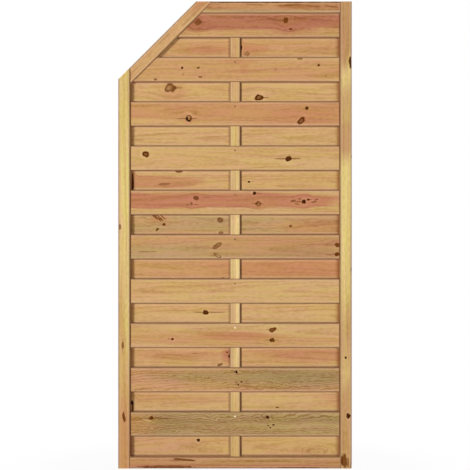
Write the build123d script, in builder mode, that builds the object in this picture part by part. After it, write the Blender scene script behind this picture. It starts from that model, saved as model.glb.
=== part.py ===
from build123d import *
import math
import os

# Fence panel in planed pine with one sloped corner. Five grooved bars make the frame. Horizontal boards
# stand in its grooves, one in front and the next behind, and a batten between the two layers holds them.
# X runs across the panel, Y from its front to its back, Z up. The origin is the middle of the panel's foot.

# Panel, in millimetres
PANEL_WIDTH = 900.0
PANEL_HEIGHT = 1800.0
SLOPE_RUN = 300.0  # how far the sloped corner reaches along the top
SLOPE_DROP = 300.0  # how far it reaches down the left side

# Frame bars
BAR_FACE = 45.0  # width seen from the front
BAR_DEPTH = 45.0
BAR_EDGE_RADIUS = 3.0
GROOVE_DEPTH = 12.0
GROOVE_CLEARANCE = 0.25  # on each side of a board or tongue
TONGUE_END_GAP = 1.0

# Boards
BOARD_WIDTH = 95.0
BOARD_THICKNESS = 9.0
BOARD_EDGE_RADIUS = 2.5
BOARD_END_GAP = 2.0  # room to swell in the groove
LEAST_OVERLAP = 9.0  # of one board over the next
TOP_BOARD_ENTRY = 2.0  # into the top rail's groove
BOTTOM_BOARD_ENTRY = 7.5  # into the bottom rail's groove

# Batten between the two layers of boards
BATTEN_WIDTH = 40.0
BATTEN_THICKNESS = 11.0
BATTEN_EDGE_RADIUS = 2.0
BATTEN_TOP_GAP = 2.0

# Nails and screws: eight-sided rods, which keep so many small pieces light
ROD_SIDES = 8
TIP_DIAMETER = 0.4

# Nails through each board into the batten
NAIL_DIAMETER = 2.2
NAIL_HEAD_DIAMETER = 5.4
NAIL_HEAD_HEIGHT = 1.0
NAIL_HEAD_BEVEL = 0.6
NAIL_LENGTH = 18.0
NAIL_POINT_LENGTH = 3.0
NAIL_EDGE_DISTANCE = 18.0  # below the board's top edge

# Screws at the frame's joints
SCREW_DIAMETER = 5.0
SCREW_HEAD_DIAMETER = 10.0
SCREW_HEAD_HEIGHT = 4.0
SCREW_POINT_LENGTH = 6.0
SCREW_GRIP = 35.0  # length in the end of a rail
SCREW_TIP_COVER = 5.0  # wood left beyond the point of a screw in the slope

# Right stile's front outer edge, where a knot has broken out and where the foot has worn
CHIP_BELOW_TOP = 232.0
CHIP_LENGTH = 46.0
CHIP_DEPTH = 4.5
WORN_FOOT_HEIGHT = 34.0
WORN_FOOT_DEPTH = 4.0

# Worked-out sizes
LEFT, RIGHT = -PANEL_WIDTH / 2, PANEL_WIDTH / 2
INNER_LEFT, INNER_RIGHT = LEFT + BAR_FACE, RIGHT - BAR_FACE
INNER_BOTTOM, INNER_TOP = BAR_FACE, PANEL_HEIGHT - BAR_FACE
FRONT, BACK = -1, 1
LAYER_OFFSET = (BATTEN_THICKNESS + BOARD_THICKNESS) / 2
LAYER_FACE = LAYER_OFFSET + BOARD_THICKNESS / 2
GROOVE_WIDTH = BOARD_THICKNESS + 2 * GROOVE_CLEARANCE
TONGUE_LENGTH = GROOVE_DEPTH - TONGUE_END_GAP
BOARD_ENTRY = GROOVE_DEPTH - BOARD_END_GAP
STACK_TOP = INNER_TOP + TOP_BOARD_ENTRY
STACK_HEIGHT = STACK_TOP - INNER_BOTTOM + BOTTOM_BOARD_ENTRY
BOARD_COUNT = math.ceil((STACK_HEIGHT - LEAST_OVERLAP) / (BOARD_WIDTH - LEAST_OVERLAP))
BOARD_PITCH = (STACK_HEIGHT - BOARD_WIDTH) / (BOARD_COUNT - 1)
BOARD_TOPS = [STACK_TOP - index * BOARD_PITCH for index in range(BOARD_COUNT)]
BAR_ROUNDING = min(BAR_EDGE_RADIUS, BAR_DEPTH / 2 - LAYER_FACE - GROOVE_CLEARANCE)
BOARD_ROUNDING = min(BOARD_EDGE_RADIUS, 0.45 * BOARD_THICKNESS)
BATTEN_ROUNDING = min(BATTEN_EDGE_RADIUS, 0.45 * BATTEN_THICKNESS)
HEAD_BEVEL = min(NAIL_HEAD_BEVEL, 0.8 * NAIL_HEAD_HEIGHT)
LONG_SCREW_LENGTH = BAR_FACE + SCREW_GRIP
SHORT_SCREW_LENGTH = BAR_FACE - SCREW_TIP_COVER

# The slope: its outer face, the sloped rail's inner face, and the plane that the boards are cut to
ACROSS, UP = Vector(1, 0, 0), Vector(0, 0, 1)
SLOPE_LENGTH = math.hypot(SLOPE_RUN, SLOPE_DROP)
SLOPE_FOOT = Vector(LEFT, 0, PANEL_HEIGHT - SLOPE_DROP)
SLOPE_ALONG = Vector(SLOPE_RUN, 0, SLOPE_DROP) / SLOPE_LENGTH
SLOPE_INWARD = Vector(SLOPE_DROP, 0, -SLOPE_RUN) / SLOPE_LENGTH
SLOPE_FACE = Plane(SLOPE_FOOT, x_dir=SLOPE_ALONG, z_dir=-SLOPE_INWARD)
SLOPE_INNER_FACE = SLOPE_FACE.offset(-BAR_FACE)
SLOPE_BOARD_CUT = SLOPE_INNER_FACE.offset(BOARD_ENTRY)
UPRIGHT_CUT = BAR_FACE * SLOPE_LENGTH / SLOPE_RUN  # length of an upright cut across the sloped rail
LEVEL_CUT = BAR_FACE * SLOPE_LENGTH / SLOPE_DROP  # length of a level cut across it

# Shoulders where a rail's end meets a stile
LEFT_SHOULDER = Plane((INNER_LEFT, 0, 0), x_dir=UP, z_dir=-ACROSS)
RIGHT_SHOULDER = Plane((INNER_RIGHT, 0, 0), x_dir=UP, z_dir=ACROSS)


def mould_bar(start, along, inward, length):
    """Add a frame bar to the part: rounded long edges, and a groove for each layer of boards."""
    middle = start + inward * (BAR_FACE / 2)
    with BuildSketch(Plane(middle, x_dir=inward, z_dir=along)) as section:
        RectangleRounded(BAR_FACE, BAR_DEPTH, BAR_ROUNDING)
        with Locations(*[(BAR_FACE / 2, side * LAYER_OFFSET) for side in (FRONT, BACK)]):
            Rectangle(2 * GROOVE_DEPTH, GROOVE_WIDTH, mode=Mode.SUBTRACT)
    extrude(section.sketch, amount=length)


def cut_tongues(shoulder):
    """Cut the bar's end beyond the shoulder down to two tongues, which fit another bar's grooves."""
    split(bisect_by=shoulder.offset(TONGUE_LENGTH), keep=Keep.BOTTOM)
    reach = 3 * (PANEL_WIDTH + PANEL_HEIGHT)
    with BuildSketch(shoulder) as waste:
        Rectangle(reach, BAR_DEPTH)
        with Locations(*[(0, side * LAYER_OFFSET) for side in (FRONT, BACK)]):
            Rectangle(reach, BOARD_THICKNESS, mode=Mode.SUBTRACT)
    extrude(waste.sketch, amount=TONGUE_LENGTH, mode=Mode.SUBTRACT)


def cut_mortise(height):
    """Cut the seat of the batten's end into a rail whose inner face is at that height."""
    with Locations((0, 0, height)):
        Box(BATTEN_WIDTH + 2 * GROOVE_CLEARANCE, BATTEN_THICKNESS, 2 * GROOVE_DEPTH, mode=Mode.SUBTRACT)


def scoop_edge(height, length, depth):
    """Scoop out a stretch of the right stile's front outer edge, deepest at that height."""
    outward = Vector(1, -1, 0).normalized()
    sharp_edge = Vector(RIGHT, -BAR_DEPTH / 2, height)
    rounded_edge = sharp_edge - outward * BAR_ROUNDING * (math.sqrt(2) - 1)
    radius = (length**2 / 4 + depth**2) / (2 * depth)
    with Locations(Plane(rounded_edge + outward * (radius - depth), z_dir=(1, 1, 0))):
        Cylinder(radius, 2 * BAR_FACE, mode=Mode.SUBTRACT)


def add_rod(base, length, diameter, end_diameter):
    """Add a stretch of rod to the part, from that height up, with a diameter for each of its ends."""
    with BuildSketch(Plane.XY.offset(base)) as section:
        RegularPolygon(diameter / 2, ROD_SIDES)
    narrowing = (diameter - end_diameter) / 2 * math.cos(math.pi / ROD_SIDES)
    extrude(section.sketch, amount=length, taper=math.degrees(math.atan(narrowing / length)))


def add_screw(length):
    """Add a countersunk screw to the part: its head's face on the origin, its point up +Z."""
    shank_length = length - SCREW_HEAD_HEIGHT - SCREW_POINT_LENGTH
    add_rod(0, SCREW_HEAD_HEIGHT, SCREW_HEAD_DIAMETER, SCREW_DIAMETER)
    add_rod(SCREW_HEAD_HEIGHT, shank_length, SCREW_DIAMETER, SCREW_DIAMETER)
    add_rod(length - SCREW_POINT_LENGTH, SCREW_POINT_LENGTH, SCREW_DIAMETER, TIP_DIAMETER)


def nail_places(side):
    """A plane for each nail of one layer, on the board's face and facing into it."""
    tops = BOARD_TOPS[0::2] if side == FRONT else BOARD_TOPS[1::2]
    return [Plane((0, side * LAYER_FACE, top - NAIL_EDGE_DISTANCE), z_dir=(0, -side, 0)) for top in tops]


def save(piece, name):
    """Label a finished piece and write its file."""
    piece.part.label = name
    export_step(piece.part, f"parts/{name}.step")


os.makedirs("parts", exist_ok=True)

# Nail: a low bevelled head on the board's face, and a pointed shank
with BuildPart() as nail:
    add_rod(-NAIL_HEAD_HEIGHT, NAIL_HEAD_HEIGHT, NAIL_HEAD_DIAMETER, NAIL_HEAD_DIAMETER)
    chamfer(nail.edges().group_by(Axis.Z)[0], length=HEAD_BEVEL)
    add_rod(0, NAIL_LENGTH - NAIL_POINT_LENGTH, NAIL_DIAMETER, NAIL_DIAMETER)
    add_rod(NAIL_LENGTH - NAIL_POINT_LENGTH, NAIL_POINT_LENGTH, NAIL_DIAMETER, TIP_DIAMETER)

with BuildPart() as front_nails:
    with Locations(*nail_places(FRONT)):
        add(nail.part)
save(front_nails, "front_nails")

with BuildPart() as back_nails:
    with Locations(*nail_places(BACK)):
        add(nail.part)
save(back_nails, "back_nails")

# Long screws: level, through each stile into the end of a rail
with BuildPart() as long_screw:
    add_screw(LONG_SCREW_LENGTH)

low_joint, high_joint = BAR_FACE / 2, PANEL_HEIGHT - BAR_FACE / 2
long_screw_places = [
    Plane((LEFT, 0, low_joint), z_dir=ACROSS),
    Plane((RIGHT, 0, low_joint), z_dir=-ACROSS),
    Plane((RIGHT, 0, high_joint), z_dir=-ACROSS),
]
with BuildPart() as frame_screws:
    with Locations(*long_screw_places):
        add(long_screw.part)
save(frame_screws, "frame_screws")

# Short screws: one square to the slope, through the left stile's top into the sloped rail,
# and one straight down, through the sloped rail's tip into the top rail. Each crosses its joint half-way.
with BuildPart() as short_screw:
    add_screw(SHORT_SCREW_LENGTH)

half_length = SHORT_SCREW_LENGTH / 2
low_place = SLOPE_FOOT + SLOPE_ALONG * (UPRIGHT_CUT - half_length * SLOPE_DROP / SLOPE_RUN)
high_place = Vector(LEFT + SLOPE_RUN + LEVEL_CUT - half_length * SLOPE_RUN / SLOPE_DROP, 0, PANEL_HEIGHT)
with BuildPart() as slope_screws:
    with Locations(Plane(low_place, z_dir=SLOPE_INWARD), Plane(high_place, z_dir=-UP)):
        add(short_screw.part)
save(slope_screws, "slope_screws")

# Stiles, which run the full height on each side
with BuildPart() as left_stile:
    mould_bar(Vector(LEFT, 0, 0), UP, ACROSS, PANEL_HEIGHT)
    split(bisect_by=SLOPE_FACE, keep=Keep.BOTTOM)
    add(frame_screws.part, mode=Mode.SUBTRACT)
    add(slope_screws.part, mode=Mode.SUBTRACT)
save(left_stile, "left_stile")

with BuildPart() as right_stile:
    mould_bar(Vector(RIGHT, 0, 0), UP, -ACROSS, PANEL_HEIGHT)
    scoop_edge(PANEL_HEIGHT - CHIP_BELOW_TOP, CHIP_LENGTH, CHIP_DEPTH)
    scoop_edge(0, 2 * WORN_FOOT_HEIGHT, WORN_FOOT_DEPTH)
    add(frame_screws.part, mode=Mode.SUBTRACT)
save(right_stile, "right_stile")

# Rails, tongued into the bars that they meet
with BuildPart() as bottom_rail:
    mould_bar(Vector(LEFT, 0, 0), ACROSS, UP, PANEL_WIDTH)
    cut_tongues(LEFT_SHOULDER)
    cut_tongues(RIGHT_SHOULDER)
    cut_mortise(INNER_BOTTOM)
    add(frame_screws.part, mode=Mode.SUBTRACT)
save(bottom_rail, "bottom_rail")

with BuildPart() as top_rail:
    mould_bar(Vector(LEFT, 0, PANEL_HEIGHT), ACROSS, -UP, PANEL_WIDTH)
    cut_tongues(SLOPE_INNER_FACE)
    cut_tongues(RIGHT_SHOULDER)
    cut_mortise(INNER_TOP)
    add(frame_screws.part, mode=Mode.SUBTRACT)
    add(slope_screws.part, mode=Mode.SUBTRACT)
save(top_rail, "top_rail")

end_spare = UPRIGHT_CUT + LEVEL_CUT
uncut_start, uncut_length = SLOPE_FOOT - SLOPE_ALONG * end_spare, SLOPE_LENGTH + 2 * end_spare
with BuildPart() as sloped_rail:
    mould_bar(uncut_start, SLOPE_ALONG, SLOPE_INWARD, uncut_length)
    split(bisect_by=Plane.XY.offset(PANEL_HEIGHT), keep=Keep.BOTTOM)
    cut_tongues(LEFT_SHOULDER)
    add(slope_screws.part, mode=Mode.SUBTRACT)
save(sloped_rail, "sloped_rail")

# Batten: stands on the floor of the bottom rail's mortise
batten_foot = INNER_BOTTOM - GROOVE_DEPTH
batten_head = INNER_TOP + GROOVE_DEPTH - BATTEN_TOP_GAP
with BuildPart() as centre_batten:
    with BuildSketch(Plane.XY.offset(batten_foot)):
        RectangleRounded(BATTEN_WIDTH, BATTEN_THICKNESS, BATTEN_ROUNDING)
    extrude(amount=batten_head - batten_foot)
    add(front_nails.part, mode=Mode.SUBTRACT)
    add(back_nails.part, mode=Mode.SUBTRACT)
save(centre_batten, "centre_batten")

# Boards, from the top down: one in the front layer, the next in the back layer
board_left, board_right = INNER_LEFT - BOARD_ENTRY, INNER_RIGHT + BOARD_ENTRY
for index, board_top in enumerate(BOARD_TOPS):
    side = FRONT if index % 2 == 0 else BACK
    layer_name = "front" if side == FRONT else "back"
    board_end = Plane(
        (board_left, side * LAYER_OFFSET, board_top - BOARD_WIDTH / 2),
        x_dir=(0, 1, 0),
        z_dir=ACROSS,
    )
    board_corner = Vector(board_left, 0, board_top)
    with BuildPart() as board:
        with BuildSketch(board_end):
            RectangleRounded(BOARD_THICKNESS, BOARD_WIDTH, BOARD_ROUNDING)
        extrude(amount=board_right - board_left)
        if SLOPE_BOARD_CUT.to_local_coords(board_corner).Z > 0:
            split(bisect_by=SLOPE_BOARD_CUT, keep=Keep.BOTTOM)
        add(front_nails.part if side == FRONT else back_nails.part, mode=Mode.SUBTRACT)
    save(board, f"{layer_name}_board_{index // 2 + 1:02d}")
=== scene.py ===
"""Looks of a pine fence panel with one sloped corner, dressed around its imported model."""

import math
from functools import partial
from itertools import count
from typing import NamedTuple

import bmesh
import bpy
from mathutils import Color, Matrix, Vector


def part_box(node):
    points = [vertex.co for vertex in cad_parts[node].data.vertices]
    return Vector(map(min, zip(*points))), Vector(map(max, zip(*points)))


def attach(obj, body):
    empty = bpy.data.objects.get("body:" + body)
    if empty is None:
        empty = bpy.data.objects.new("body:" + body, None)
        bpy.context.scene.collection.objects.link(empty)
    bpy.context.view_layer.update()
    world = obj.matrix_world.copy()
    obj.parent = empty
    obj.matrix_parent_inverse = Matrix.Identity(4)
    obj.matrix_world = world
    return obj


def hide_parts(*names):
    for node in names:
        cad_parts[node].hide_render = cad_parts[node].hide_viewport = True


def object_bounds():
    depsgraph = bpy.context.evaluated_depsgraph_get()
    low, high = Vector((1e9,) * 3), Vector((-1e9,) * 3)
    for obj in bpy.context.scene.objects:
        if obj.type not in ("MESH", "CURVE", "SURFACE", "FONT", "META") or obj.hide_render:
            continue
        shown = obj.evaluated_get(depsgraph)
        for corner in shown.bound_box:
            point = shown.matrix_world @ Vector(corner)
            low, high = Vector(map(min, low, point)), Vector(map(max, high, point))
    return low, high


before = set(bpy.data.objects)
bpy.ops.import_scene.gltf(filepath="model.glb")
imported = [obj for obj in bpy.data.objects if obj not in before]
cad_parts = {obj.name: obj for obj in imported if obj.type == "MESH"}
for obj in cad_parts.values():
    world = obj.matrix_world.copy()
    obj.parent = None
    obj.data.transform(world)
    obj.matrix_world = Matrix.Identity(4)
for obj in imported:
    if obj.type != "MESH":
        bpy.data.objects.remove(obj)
cad_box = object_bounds()

MM = 0.001

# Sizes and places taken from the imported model
panel_low, panel_high = cad_box
stile_low, stile_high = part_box("right_stile")
batten_low, batten_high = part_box("centre_batten")
BAR_FACE = stile_high.x - stile_low.x
HALF_OPENING = stile_low.x
HALF_BATTEN = (batten_high.x - batten_low.x) / 2
COVERED_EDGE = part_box("front_board_02")[1].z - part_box("back_board_01")[0].z
PANEL_MIDDLE = Vector((0.0, 0.0, panel_high.z / 2))

# The slope, at 45 degrees
SLOPE_DROP = 300.0 * MM
SLOPE_FOOT = Vector((panel_low.x, 0.0, panel_high.z - SLOPE_DROP))
SLOPE_TOP = Vector((panel_low.x + SLOPE_DROP, 0.0, panel_high.z))
SLOPE_ALONG = (SLOPE_TOP - SLOPE_FOOT).normalized()
SLOPE_INWARD = Vector((SLOPE_ALONG.z, 0.0, -SLOPE_ALONG.x))
SLOPE_CUT = BAR_FACE * math.sqrt(2)  # length of an upright or level cut across the sloped rail

# Directions, and the turns about Y that bring a piece's grain to the X axis
RIGHTWARD = Vector((1.0, 0.0, 0.0))
DOWNWARD = Vector((0.0, 0.0, -1.0))
LEVEL = 0.0
UPRIGHT = math.radians(-90)
SLOPED = math.radians(45)

# Tones of the wood, of the painted shade along its edges and of the painted highlight inside them, in screen
# values
SCREEN_WHITE = 255
TONES = {
    "cream": (242, 217, 152),
    "straw": (226, 203, 134),
    "wheat": (207, 170, 117),
    "honey": (205, 165, 110),
    "tan": (200, 155, 105),
    "fawn": (191, 148, 100),
    "clay": (196, 140, 96),
    "rose": (201, 152, 112),
    "rust": (187, 121, 90),
    "brick": (180, 119, 87),
    "olive": (183, 153, 106),
    "moss": (213, 187, 110),
    "bark": (168, 144, 97),
    "umber": (109, 55, 4),
    "soot": (46, 14, 0),
    "painted_shade": (104, 57, 39),
    "painted_highlight": (218, 182, 142),
}

# Tints that multiply a tone: the rings, the streaks, the wood round a knot and the painted shade at a
# board's ends
EARLYWOOD = (1.05, 1.05, 1.05, 1.0)
LATEWOOD = (0.82, 0.73, 0.6, 1.0)
YELLOWER = (0.985, 1.025, 0.89, 1.0)
PINKER = (1.02, 0.962, 1.09, 1.0)
KNOT_HALO = (1.11, 1.17, 1.2, 1.0)
PAINTED_CORNER_SHADE = (0.89, 0.74, 0.65, 1.0)

# How often each mark comes back along, into and across the grain, per metre
WANDER = (4.5, 16.0, 16.0)
RIPPLE = (42.0, 45.0, 45.0)
LIVELINESS = (5.0, 9.0, 9.0)
RING_FADING = (1.4, 50.0, 50.0)
STREAKS = (3.5, 110.0, 110.0)
FLECKS = (55.0, 180.0, 180.0)
FIBRES = (28.0, 1300.0, 1300.0)
SLOW_TONE = (1.3, 12.0, 18.0)
HUE_STREAKS = (9.0, 75.0, 75.0)
FINE_WOBBLE = (160.0, 160.0, 160.0)
BROAD_WOBBLE = (60.0, 60.0, 60.0)
SLOW_WOBBLE = (5.0, 30.0, 36.0)
SPANGLE = (900.0, 900.0, 900.0)
BLOTCHES = (500.0, 500.0, 500.0)

# Grain: ranges of the noise that change it, and how strong each mark is
LIVELY_RANGE = (-0.14, 0.14)
LIVELY_RIPPLE = (0.25, 1.2)
PITH_WANDER = 0.3 * MM
LATE_RISE = (0.35, 0.9)  # share of a year's growth over which the latewood darkens
LATE_FALL = (1.0, 0.9)
RING_FADING_SPREAD = 2.0
RING_FADING_MIDDLE = 0.7
STREAK_DEPTH = 1.7
FLECK_DEPTH = 1.5
FIBRE_DEPTH = 0.5
LEAST_DEPTH = 0.14
DARKEST_RING = 1.5
SLOW_TONE_RANGE = (-0.1, 0.14)
HUE_RANGE = (-0.16, 0.16)

# Knots: parts as distances from the middle, where 1 is the outline, then streaks, colours and bent grain
LARGE_KNOT = 24.0  # length in millimetres from which its outline wobbles broadly
KNOT_MASKS = ("Knot", "Streak", "Halo", "Rings", "Bend")  # passed on from each knot to the next
KNOT_WOBBLE = 1.4
KNOT_RIM = (1.2, 0.75)
KNOT_MIDDLE = (0.85, 0.3)
KNOT_HALO_REACH = (2.3, 1.2)
KNOT_RING_REACH = (2.7, 1.1)
KNOT_RING_RATE = 11.0
KNOT_RING_EDGE = (0.0, 0.9)
SHORTEST_STREAK = 0.1 * MM
STREAK_WOBBLE = 3.0 * MM
STREAK_TAPER = 0.2
STREAK_TIP = 0.1
STREAK_END = (0.0, 0.3)
STREAK_MIX = 0.8
BROWN_RISE = 1.6
BLACK_RISE = 2.5
BLACK_START = -1.5
BEND_REACH = 3.0
BEND_PUSH = -0.75

# Heartwood: how uneven its outline is
HEART_WOBBLE = 0.8

# Edges: painted shade as dark lines along them, a painted highlight inside them, the side turned to the
# other layer and painted shade at the ends
BOARD_LINE = 6.0 * MM
BAR_LINE = 6.5 * MM
LINE_CORE = 0.8 * MM
LINE_WOBBLE = 1.5 * MM
EDGE_SHADE_MIX = 0.8
EDGE_LINE_SHARE = 0.75
BATTEN_LINE_SHARE = 1.5
BATTEN_SHADE = (0.25, 1.0)  # on its lit side and on its shaded side
EDGE_HIGHLIGHT_REACH = (13.0 * MM, 5.0 * MM)
EDGE_HIGHLIGHT_MIX = 0.36
INNER_SIDE = (2.0 * MM, 3.5 * MM)
CORNER_SHADE_REACH = (12.0 * MM, 8.4 * MM)
NO_OPENING = 10.0  # beyond the ends of any piece
NO_BATTEN = -10.0  # away from any piece

# Surfaces
PINE_ROUGHNESS = (0.68, 0.5)  # of soft and of hard wood
HARDEST = 1.2
RING_HEIGHT = 0.35
FIBRE_HEIGHT = 0.6
STREAK_HEIGHT = -0.8
KNOT_HEIGHT = 0.3
PINE_BUMP = 0.5 * MM
PINE_SPECULAR = 0.06
STEEL_BUMP = 0.05 * MM
STEEL_SPECULAR = 0.3
BUMP_STRENGTH = 0.6

# Plated steel: its colours, then ranges of the noise and of the stain that change it
ZINC = (0.82, 0.72, 0.52, 1.0)
DULL_ZINC = (0.52, 0.47, 0.37, 1.0)
RUST = (0.24, 0.125, 0.055, 1.0)
DULL_RANGE = (-0.15, 0.2)
BLOTCH_RANGE = (-0.3, 0.1)
BLOTCH_STAIN = (0.7, 1.0)
HIDDEN_METAL = (0.15, 0.55)
SPANGLE_RANGE = (-0.3, 0.3)
ZINC_ROUGHNESS = (0.3, 0.5)
STAIN_ROUGHNESS = 0.35

# Nails and screws
NAIL_DIAMETER = 2.2 * MM
NAIL_HEAD_DIAMETER = 5.4 * MM
NAIL_HEAD_HEIGHT = 1.0 * MM
NAIL_DOME = 0.62 * MM
DOME_SEGMENTS = 4
NAIL_LENGTH = 18.0 * MM
NAIL_POINT_LENGTH = 3.0 * MM
NAIL_EDGE_DISTANCE = 18.0 * MM
SCREW_DIAMETER = 4.6 * MM
SCREW_HEAD_DIAMETER = 9.2 * MM
SCREW_HEAD_HEIGHT = 3.8 * MM
SCREW_POINT_LENGTH = 6.0 * MM
SCREW_SINK = 0.2 * MM
LONG_SCREW_LENGTH = 80.0 * MM
SHORT_SCREW_LENGTH = 40.0 * MM
SLOPE_SCREW_DISTANCE = SLOPE_CUT - SHORT_SCREW_LENGTH / 2  # from each end of the slope
STAR_POINTS = 6
STAR_DIAMETER = 4.6 * MM
STAR_DEPTH = 2.2 * MM
STAR_WAIST = 0.74
STAR_FLOOR = 0.85
POINT_SHARPNESS = 0.18
ROUND_SEGMENTS = 24
MERGE_DISTANCE = 0.001 * MM
SHARP_ANGLE = math.radians(40)

# How stained each nail's head is, from the top down, and each screw's
FRONT_NAIL_STAINS = (0.85, 0.9, 1.0, 0.85, 0.9, 0.95, 0.85, 0.0, 1.0, 0.0)
BACK_NAIL_STAINS = (0.9, 0.4, 0.8, 0.95, 0.6, 0.85, 0.3, 0.8, 0.9, 0.7)
SCREW_STAIN = 0.25

# Seeds of the noise: a board's is its number, moved by half in the back layer
BACK_SEED_SHIFT = 0.5
FIRST_BAR_SEED = 21

# Camera, lamps and floor
CAMERA_DISTANCE = 6.0
VIEW_WIDTH = 1.811  # of the picture, at the panel's front
SENSOR_WIDTH = 36.0
KEY_PLACE = Vector((-5.3, -8.0, 1.0))
KEY_SIZE = 1.7
KEY_POWER = 614.0
FILL_PLACE = Vector((4.0, -6.2, 1.0))
FILL_SIZE = 1.8
FILL_POWER = 155.0
BACK_PLACE = Vector((4.6, 7.0, 4.4))
BACK_SIZE = 2.2
BACK_POWER = 620.0
SKY_LIGHT = 0.11
WHITE = (1.0, 1.0, 1.0, 1.0)
FLOOR_GREY = (0.6, 0.6, 0.6, 1.0)
FLOOR_SIZE = 30.0
FLOOR_DROP = 0.2 * MM
FLOOR_FADE = (0.45, 1.1)  # distance from the panel over which the floor turns white
FLOOR_GLOW = (0.955, 1.0)


class Knot(NamedTuple):
    """A knot, in millimetres: its place along and across the grain, its size and its resin streaks."""

    along: float
    across: float
    length: float
    width: float
    dark: float = 0.7
    tilt: float = 0.0  # degrees
    left: float = 0.0  # reach of the streak towards the grain's start
    right: float = 0.0
    pale: float = 0.1  # how pale its middle is
    swirl: float = 0.25  # how clear the rings of grain round it are
    side: int = 0  # 0 right through the piece, 1 or -1 on one side of its depth only


class Patch(NamedTuple):
    """A patch of heartwood, in millimetres, with the softness of its edge and its strength; at the ends of
    the stiles and the batten it is partly painted shade.
    """

    along: float
    across: float
    length: float
    width: float
    soft: float = 0.3
    strength: float = 1.0


class Wood(NamedTuple):
    """How one piece was sawn, in millimetres: its tones, pith, rings, heartwood and knots."""

    tone: str
    blush: str
    heart: str
    pith_depth: float = 70.0
    pith_shift: float = 0.0
    pith_slope: float = 0.01
    ring: float = 4.6
    wave: float = 22.0
    ripple: float = 4.0
    figure: float = 0.5  # how clear the lines of its rings are
    contrast: float = 1.1
    patches: tuple = ()
    knots: tuple = ()


class Edges(NamedTuple):
    """Edges of one piece, in metres from its middle, and the dark line of painted shade along them."""

    half_width: float
    half_depth: float
    line: float
    covered: float = 0.0  # how far the other layer covers each edge
    half_opening: float = NO_OPENING
    half_batten: float = NO_BATTEN


# Units of the values above that aren't in metres or plain numbers
UNITS = {
    "along": MM,
    "across": MM,
    "length": MM,
    "width": MM,
    "left": MM,
    "right": MM,
    "tilt": math.radians(1),
    "pith_depth": MM,
    "pith_shift": MM,
    "ring": MM,
    "wave": MM,
    "ripple": MM,
}


def mark(*place, **details):
    """A dark mark: a knot that has no pale middle and no rings of grain round it; a few stand for painted
    shadow.
    """
    return Knot(*place, pale=0.0, swirl=0.0, **details)


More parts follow.
